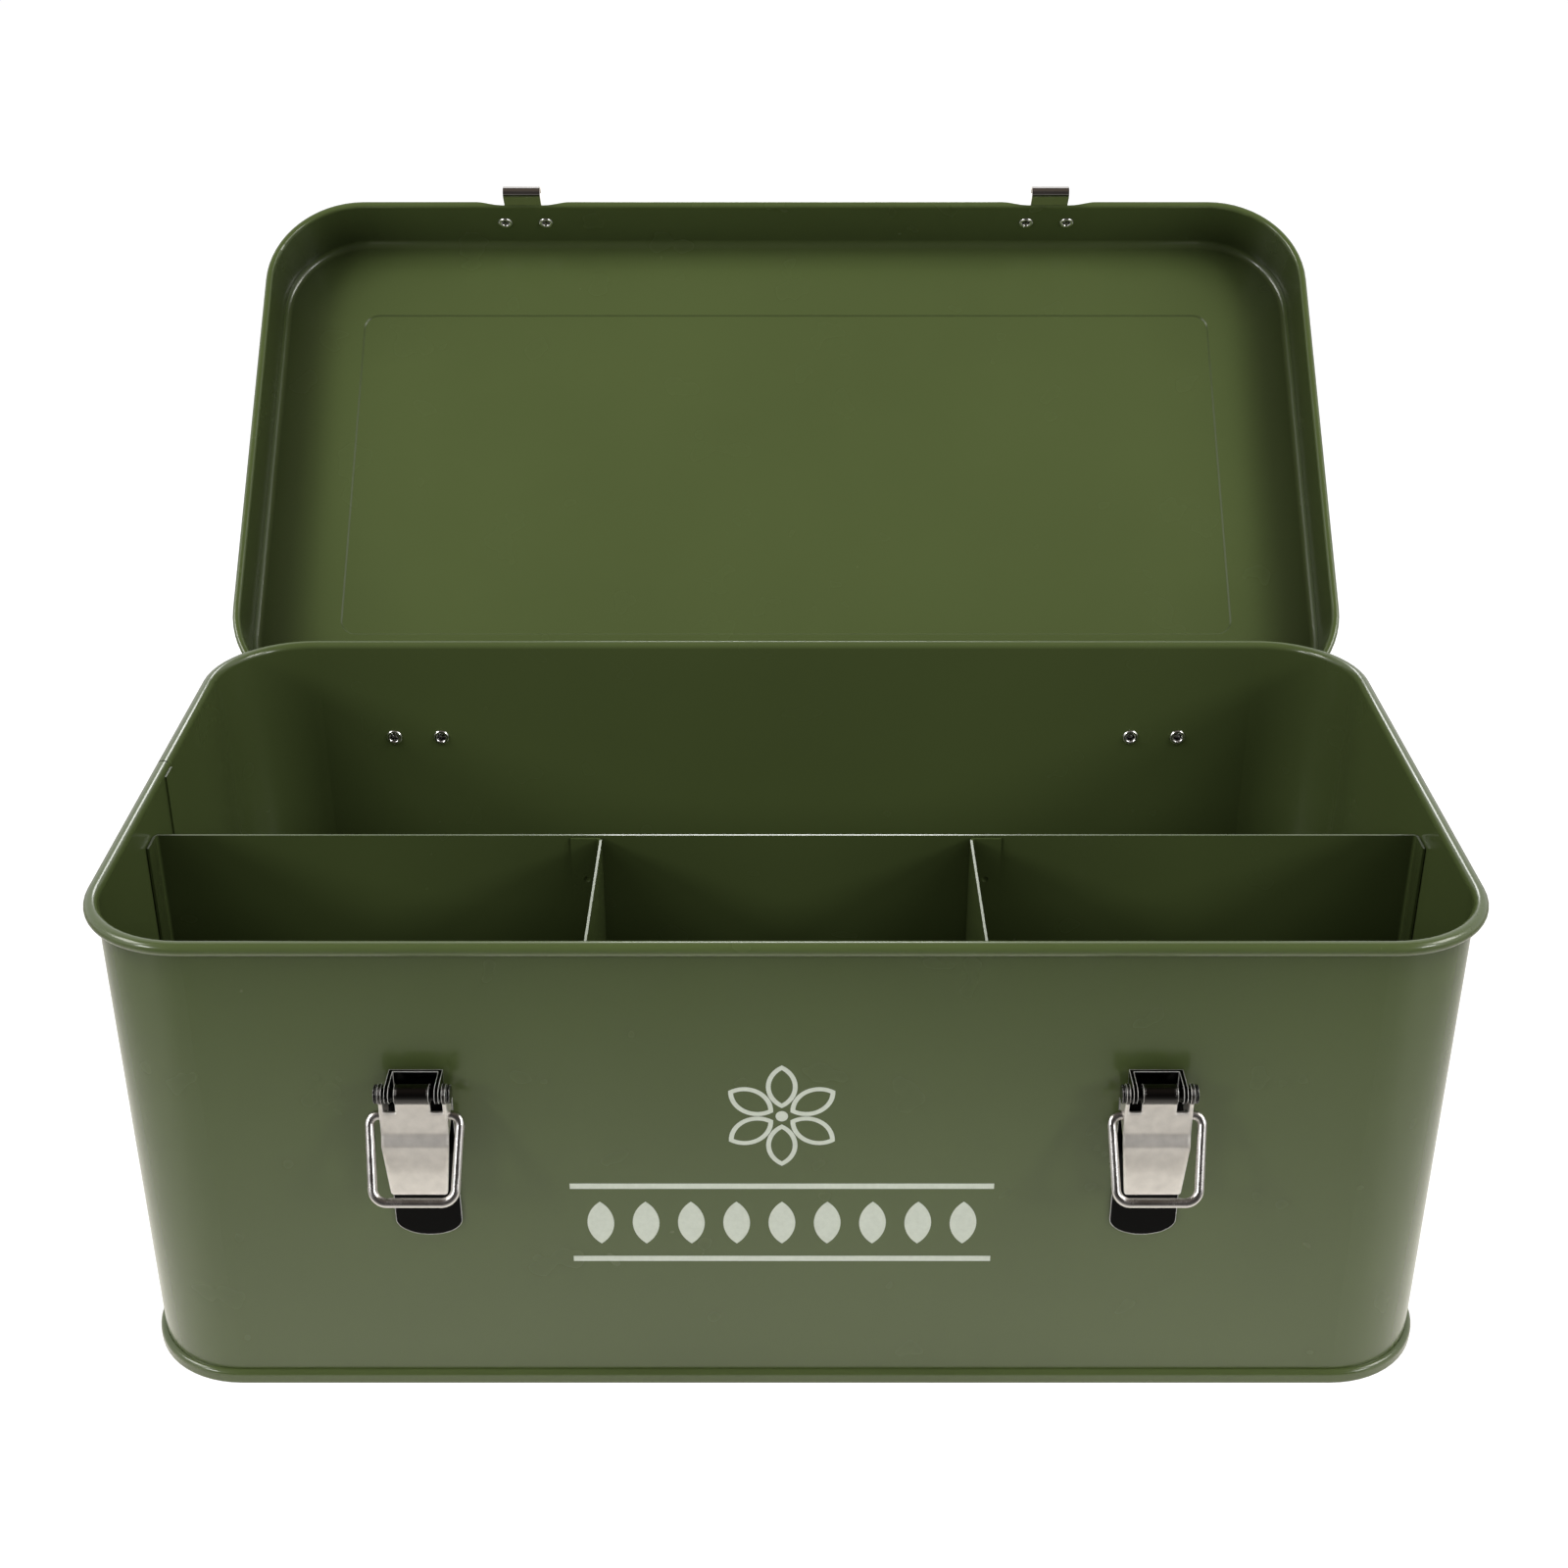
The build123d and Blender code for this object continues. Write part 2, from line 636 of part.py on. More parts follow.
pieces = {
    "body_wrapper": body_wrapper(),
    "base_pan": base_pan(),
    "long_divider": long_divider(),
    "lid_shell": opened(lid_shell()),
}
for side_name, side in (("left", -1), ("right", 1)):
    hinge_x = side * hinge_place
    latch_x = side * latch_place
    pieces["cross_divider_" + side_name] = cross_divider(side)
    pieces["hinge_body_leaf_" + side_name] = hinge_body_leaf(hinge_x)
    pieces["hinge_body_rivets_" + side_name] = grouped(hinge_body_rivets(hinge_x))
    pieces["hinge_pin_" + side_name] = hinge_pin(hinge_x)
    pieces["hinge_lid_leaf_" + side_name] = opened(hinge_lid_leaf(hinge_x))
    pieces["hinge_lid_rivets_" + side_name] = opened(grouped(hinge_lid_rivets(hinge_x)))
    pieces["catch_plate_" + side_name] = opened(catch_plate(latch_x))
    pieces["catch_rivets_" + side_name] = opened(grouped(catch_rivets(latch_x)))
    pieces["latch_base_" + side_name] = latch_base(latch_x)
    pieces["latch_base_rivets_" + side_name] = grouped(latch_base_rivets(latch_x))
    pieces["latch_pin_" + side_name] = latch_pin(latch_x)
    pieces["latch_lever_" + side_name] = latch_lever(latch_x)
    pieces["latch_bail_" + side_name] = latch_bail(latch_x)

os.makedirs("parts", exist_ok=True)
for name, shape in pieces.items():
    export_step(shape, "parts/" + name + ".step")

# the joints' places and the bail's swing, for whoever describes the motion
bail_seat_lean = degrees(atan2(hook_out - bail_pivot_out, hook_z - bail_pivot_height))
places = {
    "lid hinge axis": (hinge_y, hinge_z),
    "latch pivot": (front_wall - pivot_out, pivot_height),
    "bail pivot": (front_wall - bail_pivot_out, bail_pivot_height),
    "wire seat": (front_wall - hook_out, hook_z),
}
for what, place in places.items():
    print(what, "(y, z):", *(round(v, 4) for v in place))
print("hinges and latches, from the middle:", hinge_place, latch_place)
print("bail swing up:", round(180 - bail_lean - bail_seat_lean, 3), "and in:", bail_rest_in)
print("lever swing:", lever_open_angle)
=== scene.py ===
"""Looks of the garden seed organizer box: olive enamelled sheet steel with nickel-plated fittings."""
import json
from math import asin, cos, pi, radians, sin

import bmesh
import bpy
from mathutils import Matrix, Vector

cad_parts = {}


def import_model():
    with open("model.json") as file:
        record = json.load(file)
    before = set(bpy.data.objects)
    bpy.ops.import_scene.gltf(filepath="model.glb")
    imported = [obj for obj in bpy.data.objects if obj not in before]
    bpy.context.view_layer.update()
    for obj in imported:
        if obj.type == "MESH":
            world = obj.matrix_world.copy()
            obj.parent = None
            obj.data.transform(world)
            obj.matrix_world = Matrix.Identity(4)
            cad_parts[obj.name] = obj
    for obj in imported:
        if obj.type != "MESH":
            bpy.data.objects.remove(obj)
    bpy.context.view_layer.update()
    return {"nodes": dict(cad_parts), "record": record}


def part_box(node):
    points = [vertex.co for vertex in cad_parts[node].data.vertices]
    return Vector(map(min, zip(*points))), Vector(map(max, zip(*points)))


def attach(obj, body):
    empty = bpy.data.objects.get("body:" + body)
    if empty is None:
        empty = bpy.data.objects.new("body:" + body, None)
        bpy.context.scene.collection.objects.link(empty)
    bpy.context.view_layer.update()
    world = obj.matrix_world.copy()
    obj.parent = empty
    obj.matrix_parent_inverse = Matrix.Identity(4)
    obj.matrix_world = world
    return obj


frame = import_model()
MM = 0.001
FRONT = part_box("latch_base_left")[1][1]  # the front wall, which the latches stand on
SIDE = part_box("body_wrapper")[1][0]  # the rim's right edge

# ---- camera, fitted to the photograph ----
PHOTO_SIDE = 1600
CAMERA_PLACE = (0.0, -0.514, 0.3985)
CAMERA_PITCH = 62.4  # degrees up from looking straight down
CAMERA_LENS = 50.29
CAMERA_SENSOR = 36.0
CAMERA_CENTRE = 802  # pixel column that the camera's axis passes through
CAMERA_REACH = (0.01, 50)

# ---- studio, in metres and watts ----
WHITE = (1, 1, 1)
AMBIENT = 0.06  # what the white room adds to painted and plated surfaces
FLOOR_GLOW = 0.96  # of the floor where it is seen, also in gloss
FLOOR_SHADOW = 0.3  # what lamps add there, so that the box casts a shadow
FLOOR_WARMTH = (1.0, 0.95, 0.86)  # of the floor in gloss
FLOOR_BOUNCE = 0.9  # share of the lamps' light that the floor throws back on the box
FLOOR_LIFT = 0.12  # light that it adds to that
FLOOR_HALF = 6.0
FLOOR_DROP = 0.05 * MM
CARD_FADE = (0.015, 0.22)  # from the box: where the floor's dark card starts and is darkest
CARD_DARK = 0.88
CARD_SIDE_DARK = 0.7  # the same card beside the box
CARD_HALF = 1.6
CARD_COLOUR = (0.01, 0.01, 0.01)
CEILING = 2.4
CEILING_BACK = 0.9  # how far behind the box the card overhead reaches
CEILING_COLOUR = (0.1, 0.083, 0.07)
FLAG_HALF = 2.6
FLAG_FAR = 2.2
FLAG_COLOUR = (0.045, 0.04, 0.037)
SHINE_COLOUR = (1, 0.98, 0.95)
# Lamps and bright cards: place, aim, side, and power or strength.
# The first three have a twin on the left.
HIGH_SOFTBOX = ((0.7, -0.12, 0.94), (0, 0.1, 0.15), 0.4, 5.7)
LOW_SOFTBOX = ((1.5, -1.3, 0.9), (0, 0, 0.12), 0.4, 9.0)
SHINE_CARD = ((1.3, -0.3, 1.1), (0, 0, 0.12), 0.6, 10.0)
BACK_LIGHT = ((0, 2.0, 1.4), (0, 0, 0.13), 0.5, 8.0)
KEY = ((0.1, -0.75, 1.6), (0, 0, 0.12), 0.12, 1.0)

# ---- finishes; a noise is given as its cells along a metre and its detail ----
MID_NOISE = (0.3, 0.7)  # values of a noise that are spread from 0 to 1
HIGH_NOISE = (0.35, 0.7)
EDGE_BEND = (0.995, 0.94)  # cosine between true and softened normal, off an edge and on it
BEVEL_SAMPLES = 6
# olive enamel
OLIVE = (0.080, 0.107, 0.034)
OLIVE_SPREAD = 1.07  # its palest patches over its plain colour
OLIVE_PATCHES = (14.0, 2.0)
ENAMEL_ROUGH = (0.22, 0.28)
ENAMEL_SMEARS = (60.0, 2.0)
ENAMEL_SPECULAR = 0.42
SKIN = 0.3
SKIN_ROUGH = 0.1
PEEL = (520.0, 1.0)
PEEL_DEPTH = 0.03 * MM
PEEL_STRENGTH = 0.08
CORNER_SHADE_REACH = 0.06  # how far from a corner shade is painted into the enamel's colour
CORNER_SHADE_SAMPLES = 4
LID_CORNER_SHADE_REACH = 0.05
LID_MIDDLE_SHADE = 0.25  # share of that painted shade in the middle of the lid
LID_SHADE_SIDES = (0.105, 0.15)  # from the middle plane: where that share starts to rise and is whole, a painted shadow beside the side skirts
# bright plate and wire
NICKEL = (0.66, 0.64, 0.62)
NICKEL_ROUGH = 0.1
NICKEL_GRAIN = 0.1
WIRE = (0.62, 0.6, 0.585)
WIRE_ROUGH = 0.22
WIRE_GRAIN = 0.02
PLATE_SMEARS = (260.0, 4.0)
SMEAR_SPREAD = (0.8, 1.5)  # the least and the most rough over the plate's own roughness
PLATE_GRAIN = (3200.0, 3.0)
PLATE_GRAIN_DEPTH = 0.004 * MM
# rivets, with shade painted into their hollows
RIVET = (0.92, 0.91, 0.89)
RIVET_ROUGH = (0.2, 0.34)
# painted shade in the rivet's bore and round its rolled end
HOLLOW_SHADE = (0.02, 0.02, 0.02)
HOLLOW_SHADE_REACH = 1.5 * MM
HOLLOW_SHADE_SAMPLES = 8
HOLLOW_SHADE_OPEN = (0.4, 0.72)  # how open the surface is where the painted shade is darkest and where there is none
# plate painted black for a dark reflection, with painted highlights on its edges
# painted dark reflection: the plate's own colour is set nearly black
BLACK_REFLECTION = (0.007, 0.007, 0.007)
BLACK_ROUGH = 0.16
BLACK_ROUNDING = 0.2 * MM
# painted highlight along the plate's edges
BLACK_EDGE_GLINT = (1, 0.98, 0.95)
BLACK_EDGE_WIDTH = 0.28 * MM
BLACK_EDGE_METAL = 0.15
BLACK_EDGE_ROUGH = 0.4
# satin plate
SATIN = (0.97, 0.935, 0.89)
SATIN_SPREAD = 0.88  # its darkest rubbed patches over its plain colour
SATIN_ROUGH = 0.5
SATIN_ROUNDING = 1.3 * MM
RUBBED = (420.0, 5.0)
RUBBED_NOISE = (0.35, 0.75)
# painted dark reflection on the polished knuckle and ears
KNUCKLE_REFLECTION = (0.07, 0.067, 0.065)
POLISHED_ROUGH = 0.14
# painted highlight along the lever's edges
SATIN_EDGE_GLINT = (0.95, 0.93, 0.9)
SATIN_EDGE_WIDTH = 0.25 * MM
SATIN_EDGE_METAL = 0.5
SATIN_EDGE_ROUGHER = 0.2
KNUCKLE_LOW = 0.0927  # height at which the lever's plate leaves its polished knuckle, where the painted dark reflection starts
KNUCKLE_BLEND = 0.3 * MM
# print
PRINT_COLOURS = (0.70, 0.74, 0.63), (0.65, 0.69, 0.58)
PRINT_ROUGH = 0.42
PRINT_WEAR = (900.0, 4.0)
PRINT_GRAIN = (1500.0, 2.0)
PRINT_GRAIN_DEPTH = 0.01 * MM
PRINT_GRAIN_STRENGTH = 0.3

# ---- pattern on the front wall, in millimetres across and up it ----
PRINT_ACROSS = -1.0
PRINT_THICK = 0.04
RULE_WIDTH = 104.0
RULE_THICK = 1.6
RULE_HEIGHTS = (40.0, 62.5)
GRAIN_COUNT = 9
GRAIN_SPACING = 11.2
GRAIN_SIZE = (6.6, 13.0)
FLOWER_HEIGHT = 83.5
FLOWER_EYE = 1.5
PETALS = 6
PETAL_SIZE = (7.6, 12.4)
PETAL_REACH = 8.6
PETAL_LINE = 1.15
ALMOND_STEPS = 16
DISC_SEGMENTS = 40
WELD = 0.001


class Paint:
    """The nodes of one material or of the world."""

    def __init__(self, owner):
        owner.use_nodes = True
        self.owner = owner
        self.nodes = owner.node_tree.nodes
        self.links = owner.node_tree.links

    def feed(self, socket, value):
        """Sets an input to a number or a colour, or links another node's output to it."""
        if isinstance(value, bpy.types.NodeSocket):
            self.links.new(value, socket)
        elif isinstance(value, (tuple, list)):
            socket.default_value = (*value, 1)
        else:
            socket.default_value = value

    def add(self, kind, inputs=None, **settings):
        node = self.nodes.new("ShaderNode" + kind)
        for name, value in settings.items():
            setattr(node, name, value)
        for key, value in (inputs or {}).items():
            self.feed(node.inputs[key], value)
        return node

    def shade(self, **inputs):
        """Feeds the material's own shader; an underscore stands for a space."""
        shader = self.nodes["Principled BSDF"]
        for name, value in inputs.items():
            self.feed(shader.inputs[name.replace("_", " ")], value)

    def bare(self):
        """Takes away the default shader."""
        self.nodes.remove(next(n for n in self.nodes if not n.type.startswith("OUTPUT")))

    def show(self, shader):
        output = next(n for n in self.nodes if n.type.startswith("OUTPUT"))
        self.feed(output.inputs["Surface"], shader)

    def math(self, operation, *values):
        return self.add("Math", dict(enumerate(values)), operation=operation).outputs[0]

    def place(self):
        return self.add("TexCoord").outputs["Object"]

    def along(self, axis):
        """The object's own coordinate along X, Y or Z."""
        return self.add("SeparateXYZ", {"Vector": self.place()}).outputs[axis]

    def across(self):
        """Distance from the middle plane between left and right."""
        return self.math("ABSOLUTE", self.along("X"))

    def noise(self, scale, detail):
        """Noise on the object's own coordinates; scale counts its cells along a metre."""
        inputs = {"Vector": self.place(), "Scale": scale, "Detail": detail}
        return self.add("TexNoise", inputs).outputs["Fac"]

    def between(self, value, from_low, from_high, low=0.0, high=1.0):
        """Spreads a value from one range to another, and holds it inside that."""
        source = {"Value": value, "From Min": from_low, "From Max": from_high}
        return self.add("MapRange", {**source, "To Min": low, "To Max": high}).outputs["Result"]

    def tinted(self, amount, colour, other):
        inputs = {"Factor": amount, "A": colour, "B": other}
        return self.add("Mix", inputs, data_type="RGBA").outputs["Result"]

    def glow(self, colour, strength=1.0):
        return self.add("Emission", {"Color": colour, "Strength": strength}).outputs[0]

    def matt(self, share):
        return self.add("BsdfDiffuse", {"Color": (share, share, share)}).outputs[0]

    def both(self, shader, other):
        return self.add("AddShader", {0: shader, 1: other}).outputs[0]

    def either(self, share, shader, other):
        return self.add("MixShader", {0: share, 1: shader, 2: other}).outputs[0]

    def seen_directly(self):
        """1 for rays that show the background itself: from the camera, in gloss or through glass."""
        path = self.add("LightPath").outputs
        seen = self.math("MAXIMUM", path["Is Camera Ray"], path["Is Glossy Ray"])
        return self.math("MAXIMUM", seen, path["Is Transmission Ray"])

    def bump(self, height, distance, strength):
        inputs = {"Height": height, "Distance": distance, "Strength": strength}
        self.shade(Normal=self.add("Bump", inputs).outputs["Normal"])

    def soft_normal(self, radius):
        """The normal that pressed metal has where its edges are slightly round."""
        return self.add("Bevel", {"Radius": radius}, samples=BEVEL_SAMPLES).outputs["Normal"]

    def edge_glint(self, radius):
        """1 on edges and 0 on flats, from how far a softened normal leaves the true one; it marks
        where a highlight is painted.
        """
        true = self.add("NewGeometry").outputs["True Normal"]
        inputs = {0: self.soft_normal(radius), 1: true}
        bend = self.add("VectorMath", inputs, operation="DOT_PRODUCT").outputs["Value"]
        return self.between(bend, *EDGE_BEND)

    def occlusion_shade(self, reach, samples, **settings):
        """Ambient occlusion, which tells corners and hollows from open surfaces; it paints shade into
        colours.
        """
        return self.add("AmbientOcclusion", {"Distance": reach}, samples=samples, **settings)


def material(name):
    return Paint(bpy.data.materials.new(name))


def linked(name, data):
    made = bpy.data.objects.new(name, data)
    bpy.context.scene.collection.objects.link(made)
    return made


def facing(place, aim):
    return (Vector(aim) - Vector(place)).to_track_quat("-Z", "Y")


# ---- camera and studio ----
def camera():
    data = bpy.data.cameras.new("camera")
    data.lens = CAMERA_LENS
    data.sensor_width = CAMERA_SENSOR
    data.shift_x = (PHOTO_SIDE / 2 - CAMERA_CENTRE) / PHOTO_SIDE
    data.clip_start, data.clip_end = CAMERA_REACH
    made = linked("camera", data)
    made.location = CAMERA_PLACE
    made.rotation_euler = (radians(CAMERA_PITCH), 0, 0)
    bpy.context.scene.camera = made


def world():
    made = bpy.data.worlds.new("white_room")
    paint = Paint(made)
    paint.bare()
    ambient = paint.add("Background", {"Color": WHITE, "Strength": AMBIENT}).outputs[0]
    white = paint.add("Background", {"Color": WHITE, "Strength": 1.0}).outputs[0]
    paint.show(paint.either(paint.seen_directly(), ambient, white))
    bpy.context.scene.world = made


def stage_sheet(name, paint, low, high, turn=Matrix()):
    """A flat sheet of the studio, drawn level between two corners and then turned."""
    mesh = bpy.data.meshes.new(name)
    shape = bmesh.new()
    bmesh.ops.create_grid(shape, x_segments=1, y_segments=1, size=0.5)
    bmesh.ops.scale(shape, verts=shape.verts, vec=(high[0] - low[0], high[1] - low[1], 1))
    middle = [(a + b) / 2 for a, b in zip(low, high)]
    bmesh.ops.translate(shape, verts=shape.verts, vec=(*middle, 0))
    bmesh.ops.transform(shape, verts=shape.verts, matrix=turn)
    shape.to_mesh(mesh)
    shape.free()
    mesh.materials.append(paint.owner)
    made = linked(name, mesh)
    return made


def floor():
    paint = material("floor_white")
    paint.owner.cycles.emission_sampling = "NONE"  # only seen, never a lamp
    paint.bare()
    from_camera = paint.add("LightPath").outputs["Is Camera Ray"]
    glow = paint.glow(paint.tinted(from_camera, FLOOR_WARMTH, WHITE), FLOOR_GLOW)
    lit = paint.both(paint.matt(FLOOR_BOUNCE), paint.glow(WHITE, FLOOR_LIFT))
    shown = paint.both(paint.matt(FLOOR_SHADOW), glow)
    paint.show(paint.either(paint.seen_directly(), lit, shown))
    below = Matrix.Translation((0, 0, -FLOOR_DROP))
    stage_sheet("floor", paint, (-FLOOR_HALF, -FLOOR_HALF), (FLOOR_HALF, FLOOR_HALF), below)


def card_paint(name, colour, strength=1.0, lamp=False):
    """A studio card that glows a little or a lot, and is a lamp or only seen."""
    paint = material(name)
    paint.owner.cycles.emission_sampling = "AUTO" if lamp else "NONE"
    paint.bare()
    paint.show(paint.glow(colour, strength))
    return paint


def fading_paint():
    """The dark card on the floor, which turns from clear to dark away from the box."""
    paint = card_paint("floor_card", CARD_COLOUR)
    start, end = CARD_FADE
    before = paint.between(paint.along("Y"), FRONT - start, FRONT - end, 0.0, CARD_DARK)
    beside = paint.between(paint.across(), SIDE + start, SIDE + end, 0.0, CARD_SIDE_DARK)
    clear = paint.add("BsdfTransparent").outputs[0]
    share = paint.math("MAXIMUM", before, beside)
    paint.show(paint.either(share, clear, paint.glow(CARD_COLOUR)))
    return paint


def only_in_gloss(card):
    card.visible_camera = False
    card.visible_diffuse = False
    card.visible_transmission = False
    card.visible_shadow = False


def dark_flags():
    """Dark cards seen only in gloss: on the floor round the box, overhead, behind the camera."""
    fading = fading_paint()
    ceiling = card_paint("ceiling_card", CEILING_COLOUR)
    behind = card_paint("dark_card", FLAG_COLOUR)
    near = (-CARD_HALF, -FLAG_FAR), (CARD_HALF, CARD_HALF)
    above = (-FLAG_HALF, -FLAG_FAR), (FLAG_HALF, CEILING_BACK)
    wall = (-FLAG_HALF, 0), (FLAG_HALF, CEILING)
    over = Matrix.Translation((0, 0, CEILING))
    upright = Matrix.Translation((0, -FLAG_FAR, 0)) @ Matrix.Rotation(pi / 2, 4, "X")
    only_in_gloss(stage_sheet("flag_floor", fading, *near))
    only_in_gloss(stage_sheet("flag_ceiling", ceiling, *above, over))
    only_in_gloss(stage_sheet("flag_behind_camera", behind, *wall, upright))


def shine_card(name, place, aim, side, strength):
    """A bright card that shows only as highlights on edges, beads and plate."""
    paint = card_paint(name, SHINE_COLOUR, strength, lamp=True)
    turn = Matrix.Translation(place) @ facing(place, aim).to_matrix().to_4x4()
    half = side / 2
    only_in_gloss(stage_sheet(name, paint, (-half, -half), (half, half), turn))


def softbox(name, place, aim, side, power, in_gloss=True):
    data = bpy.data.lights.new(name, "AREA")
    data.shape = "SQUARE"
    data.size = side
    data.energy = power
    made = linked(name, data)
    made.location = place
    made.rotation_euler = facing(place, aim).to_euler()
    made.visible_camera = False
    made.visible_glossy = in_gloss


def on_side(side, lamp):
    """A lamp or card as it stands on the right, 1, or its twin on the left, -1."""
    (x, y, z), *rest = lamp
    return ((side * x, y, z), *rest)


def studio():
    world()
    floor()
    dark_flags()
    for name, side in (("left", -1), ("right", 1)):
        softbox("softbox_" + name, *on_side(side, HIGH_SOFTBOX), in_gloss=False)
        softbox("low_softbox_" + name, *on_side(side, LOW_SOFTBOX))
        shine_card("shine_" + name, *on_side(side, SHINE_CARD))
    softbox("back_light", *BACK_LIGHT)
    softbox("key", *KEY, in_gloss=False)


# ---- finishes ----
def enamel(name, shade_reach, own_only=True, middle=1.0):
    """Baked olive enamel with a slight orange peel and a clear skin.

    Shade is painted into its colour in corners, of its own piece or of all pieces. Middle is the
    share of that painted shade which is left between the object's sides.
    """
    paint = material(name)
    patches = paint.between(paint.noise(*OLIVE_PATCHES), *MID_NOISE)
    even = paint.tinted(patches, OLIVE, [v * OLIVE_SPREAD for v in OLIVE])
    # painted shade: the colour darkens in corners and creases, found by ambient occlusion
    painted_shade = paint.occlusion_shade(shade_reach, CORNER_SHADE_SAMPLES, only_local=own_only)
    paint.feed(painted_shade.inputs["Color"], even)
    # painted shadow on the lid: near its side skirts the painted shade is whole, in the middle only a
    # share of it
    share = paint.between(paint.across(), *LID_SHADE_SIDES, middle, 1.0)
    paint.shade(
        Base_Color=paint.tinted(share, even, painted_shade.outputs["Color"]),
        Roughness=paint.between(paint.noise(*ENAMEL_SMEARS), *MID_NOISE, *ENAMEL_ROUGH),
        Specular_IOR_Level=ENAMEL_SPECULAR,
        Coat_Weight=SKIN,
        Coat_Roughness=SKIN_ROUGH,
    )
    paint.bump(paint.noise(*PEEL), PEEL_DEPTH, PEEL_STRENGTH)
    return paint.owner


def plated(name, colour, roughness, grain):
    """Nickel plate over pressed steel, with fine rubbed grain and faint smears."""
    paint = material(name)
    smears = [roughness * share for share in SMEAR_SPREAD]
    paint.shade(
        Base_Color=colour,
        Metallic=1.0,
        Roughness=paint.between(paint.noise(*PLATE_SMEARS), *HIGH_NOISE, *smears),
    )
    paint.bump(paint.noise(*PLATE_GRAIN), PLATE_GRAIN_DEPTH, grain)
    return paint.owner


def riveted(name):
    """Plated steel with shade painted into its colour in the rivet's hollow and under its rolled end.
    """
    paint = material(name)
    painted_shade = paint.occlusion_shade(HOLLOW_SHADE_REACH, HOLLOW_SHADE_SAMPLES).outputs["AO"]
    paint.shade(
        Base_Color=paint.tinted(paint.between(painted_shade, *HOLLOW_SHADE_OPEN), HOLLOW_SHADE, RIVET),
        Metallic=1.0,
        Roughness=paint.between(paint.noise(*PLATE_SMEARS), *HIGH_NOISE, *RIVET_ROUGH),
    )
    return paint.owner


def reflection_black_plate(name):
    """Plate painted nearly black for the dark reflection that its chrome shows, with a painted
    highlight along its edges.
    """
    paint = material(name)
    # painted highlight: bright colour on the edges, the flats painted black as a dark reflection
    edge = paint.edge_glint(BLACK_EDGE_WIDTH)
    paint.shade(
        Base_Color=paint.tinted(edge, BLACK_REFLECTION, BLACK_EDGE_GLINT),
        Metallic=paint.between(edge, 0.0, 1.0, 1.0, BLACK_EDGE_METAL),
        Roughness=paint.between(edge, 0.0, 1.0, BLACK_ROUGH, BLACK_EDGE_ROUGH),
        Normal=paint.soft_normal(BLACK_ROUNDING),
    )
    return paint.owner


def satin(name):
    """Fine-blasted nickel plate; its knuckle and ears round the pin are polished and painted dark for
    their dark reflection, with a painted highlight along their edges.
    """
    paint = material(name)
    rubbed = paint.between(paint.noise(*RUBBED), *RUBBED_NOISE)
    blasted = paint.tinted(rubbed, SATIN, [v * SATIN_SPREAD for v in SATIN])
    edge = paint.edge_glint(SATIN_EDGE_WIDTH)
    # painted reflection and highlight: dark on the knuckle, bright along its edges
    knuckle_reflection = paint.tinted(edge, KNUCKLE_REFLECTION, SATIN_EDGE_GLINT)
    knuckle = paint.between(paint.along("Z"), KNUCKLE_LOW, KNUCKLE_LOW + KNUCKLE_BLEND)
    rough = paint.between(knuckle, 0.0, 1.0, SATIN_ROUGH, POLISHED_ROUGH)
    paint.shade(
        Base_Color=paint.tinted(knuckle, blasted, knuckle_reflection),
        Metallic=paint.between(edge, 0.0, 1.0, 1.0, SATIN_EDGE_METAL),
        Roughness=paint.math("MULTIPLY_ADD", edge, SATIN_EDGE_ROUGHER, rough),
        Normal=paint.soft_normal(SATIN_ROUNDING),
    )
    return paint.owner


def print_paint():
    paint = material("pale_print")
    worn = paint.between(paint.noise(*PRINT_WEAR), *HIGH_NOISE)
    paint.shade(Base_Color=paint.tinted(worn, *PRINT_COLOURS), Roughness=PRINT_ROUGH)
    paint.bump(paint.noise(*PRINT_GRAIN), PRINT_GRAIN_DEPTH, PRINT_GRAIN_STRENGTH)
    return paint.owner


# ---- pattern on the front wall ----
def edges_of(verts):
    return list({edge for vert in verts for edge in vert.link_edges})


def almond(shape, width, height, line=0.0):
    """A flat pointed oval about the origin, upright, or only a line round its edge.

    Gives its vertices.
    """
    older = set(shape.verts)
    swell = (height**2 + width**2) / (4 * width)
    tip = shape.verts.new((0, -height / 2, 0))
    centre = (width / 2 - swell, 0, 0)
    turn = 2 * asin(height / 2 / swell)
    bmesh.ops.spin(
        shape, geom=[tip], cent=centre, axis=(0, 0, 1), angle=turn, steps=ALMOND_STEPS
    )
    side = [v for v in shape.verts if v not in older]
    bmesh.ops.mirror(shape, geom=side + edges_of(side), axis="X", merge_dist=WELD)
    verts = [v for v in shape.verts if v not in older]
    oval = bmesh.ops.edgeloop_fill(shape, edges=edges_of(verts))["faces"]
    if line:
        bmesh.ops.inset_region(
            shape, faces=oval, thickness=line, use_boundary=True, use_even_offset=True
        )
        bmesh.ops.delete(shape, geom=oval, context="FACES_ONLY")
    return [v for v in shape.verts if v not in older]


def disc(shape, radius):
    made = bmesh.ops.create_circle(shape, cap_ends=True, segments=DISC_SEGMENTS, radius=radius)
    return made["verts"]


def rule(shape, width, height):
    verts = bmesh.ops.create_grid(shape, x_segments=1, y_segments=1, size=0.5)["verts"]
    bmesh.ops.scale(shape, verts=verts, vec=(width, height, 1))
    return verts


def placed(shape, verts, x, z, turn=0.0):
    matrix = Matrix.Translation((x, z, 0)) @ Matrix.Rotation(turn, 4, "Z")
    bmesh.ops.transform(shape, verts=verts, matrix=matrix)


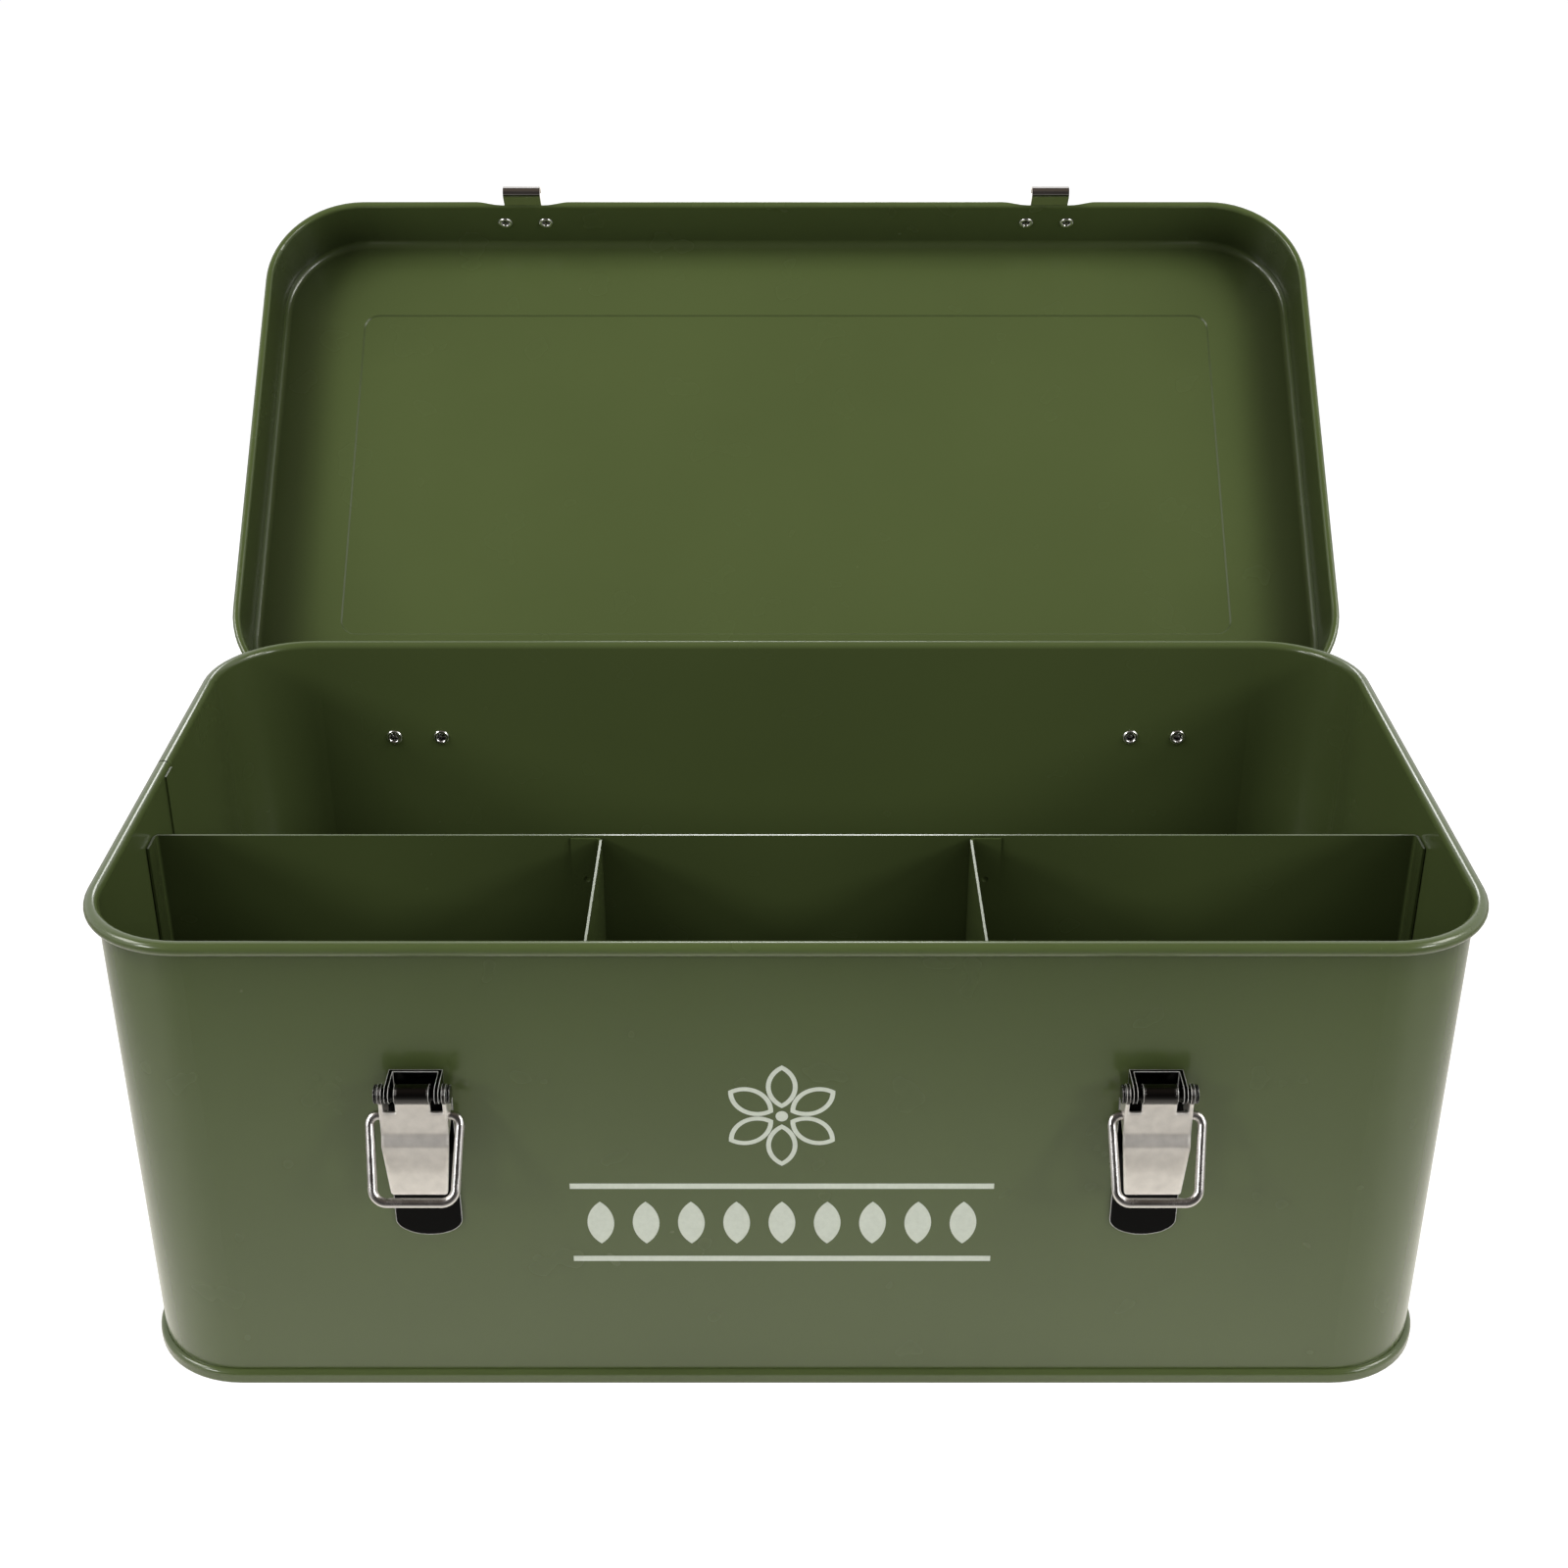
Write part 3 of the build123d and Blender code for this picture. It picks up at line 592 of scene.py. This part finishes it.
def flat_pattern(shape):
    """An outline flower over a row of grains between two rules, drawn level."""
    for height in RULE_HEIGHTS:
        placed(shape, rule(shape, RULE_WIDTH, RULE_THICK), PRINT_ACROSS, height)
    row = sum(RULE_HEIGHTS) / 2
    for i in range(GRAIN_COUNT):
        x = PRINT_ACROSS + (i - (GRAIN_COUNT - 1) / 2) * GRAIN_SPACING
        placed(shape, almond(shape, *GRAIN_SIZE), x, row)
    for i in range(PETALS):
        turn = 2 * pi * i / PETALS
        x = PRINT_ACROSS - PETAL_REACH * sin(turn)
        z = FLOWER_HEIGHT + PETAL_REACH * cos(turn)
        placed(shape, almond(shape, *PETAL_SIZE, PETAL_LINE), x, z, turn)
    placed(shape, disc(shape, FLOWER_EYE), PRINT_ACROSS, FLOWER_HEIGHT)


def front_print():
    """A plain garden pattern, printed on the front wall."""
    shape = bmesh.new()
    flat_pattern(shape)
    upright = Matrix.Rotation(pi / 2, 4, "X")
    stand = Matrix.Translation((0, FRONT, 0)) @ upright @ Matrix.Scale(MM, 4)
    bmesh.ops.transform(shape, verts=shape.verts, matrix=stand)
    bmesh.ops.recalc_face_normals(shape, faces=shape.faces)
    flats = list(shape.faces)
    if flats[0].normal.y > 0:
        bmesh.ops.reverse_faces(shape, faces=flats)
    raised = bmesh.ops.extrude_face_region(shape, geom=flats, use_keep_orig=True)["geom"]
    moved = [v for v in raised if isinstance(v, bmesh.types.BMVert)]
    bmesh.ops.translate(shape, verts=moved, vec=(0, -PRINT_THICK * MM, 0))
    bmesh.ops.recalc_face_normals(shape, faces=shape.faces)
    mesh = bpy.data.meshes.new("front_print")
    shape.to_mesh(mesh)
    shape.free()
    mesh.materials.append(print_paint())
    made = linked("front_print", mesh)
    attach(made, "case")


camera()
studio()
finishes = {
    "box_paint": enamel("olive_enamel_box", CORNER_SHADE_REACH),
    "lid_paint": enamel("olive_enamel_lid", LID_CORNER_SHADE_REACH, middle=LID_MIDDLE_SHADE),
    "divider_paint": enamel("olive_enamel_dividers", CORNER_SHADE_REACH, own_only=False),
    "bright_plate": plated("bright_nickel", NICKEL, NICKEL_ROUGH, NICKEL_GRAIN),
    "satin_plate": satin("satin_nickel"),
    "rivet_steel": riveted("rivet_steel"),
    "wire_steel": plated("polished_wire", WIRE, WIRE_ROUGH, WIRE_GRAIN),
}
latch_reflection_black = reflection_black_plate("black_painted_reflection")
slots = {part["node"]: part["material_slot"] for part in frame["record"]["subparts"]}
for name, node in frame["nodes"].items():
    # latch base plates and pins take the plate painted black for its dark reflection
    black = name.startswith(("latch_base_left", "latch_base_right", "latch_pin"))
    node.data.materials[0] = latch_reflection_black if black else finishes[slots[name]]
front_print()

bpy.context.scene.view_settings.view_transform = "Standard"
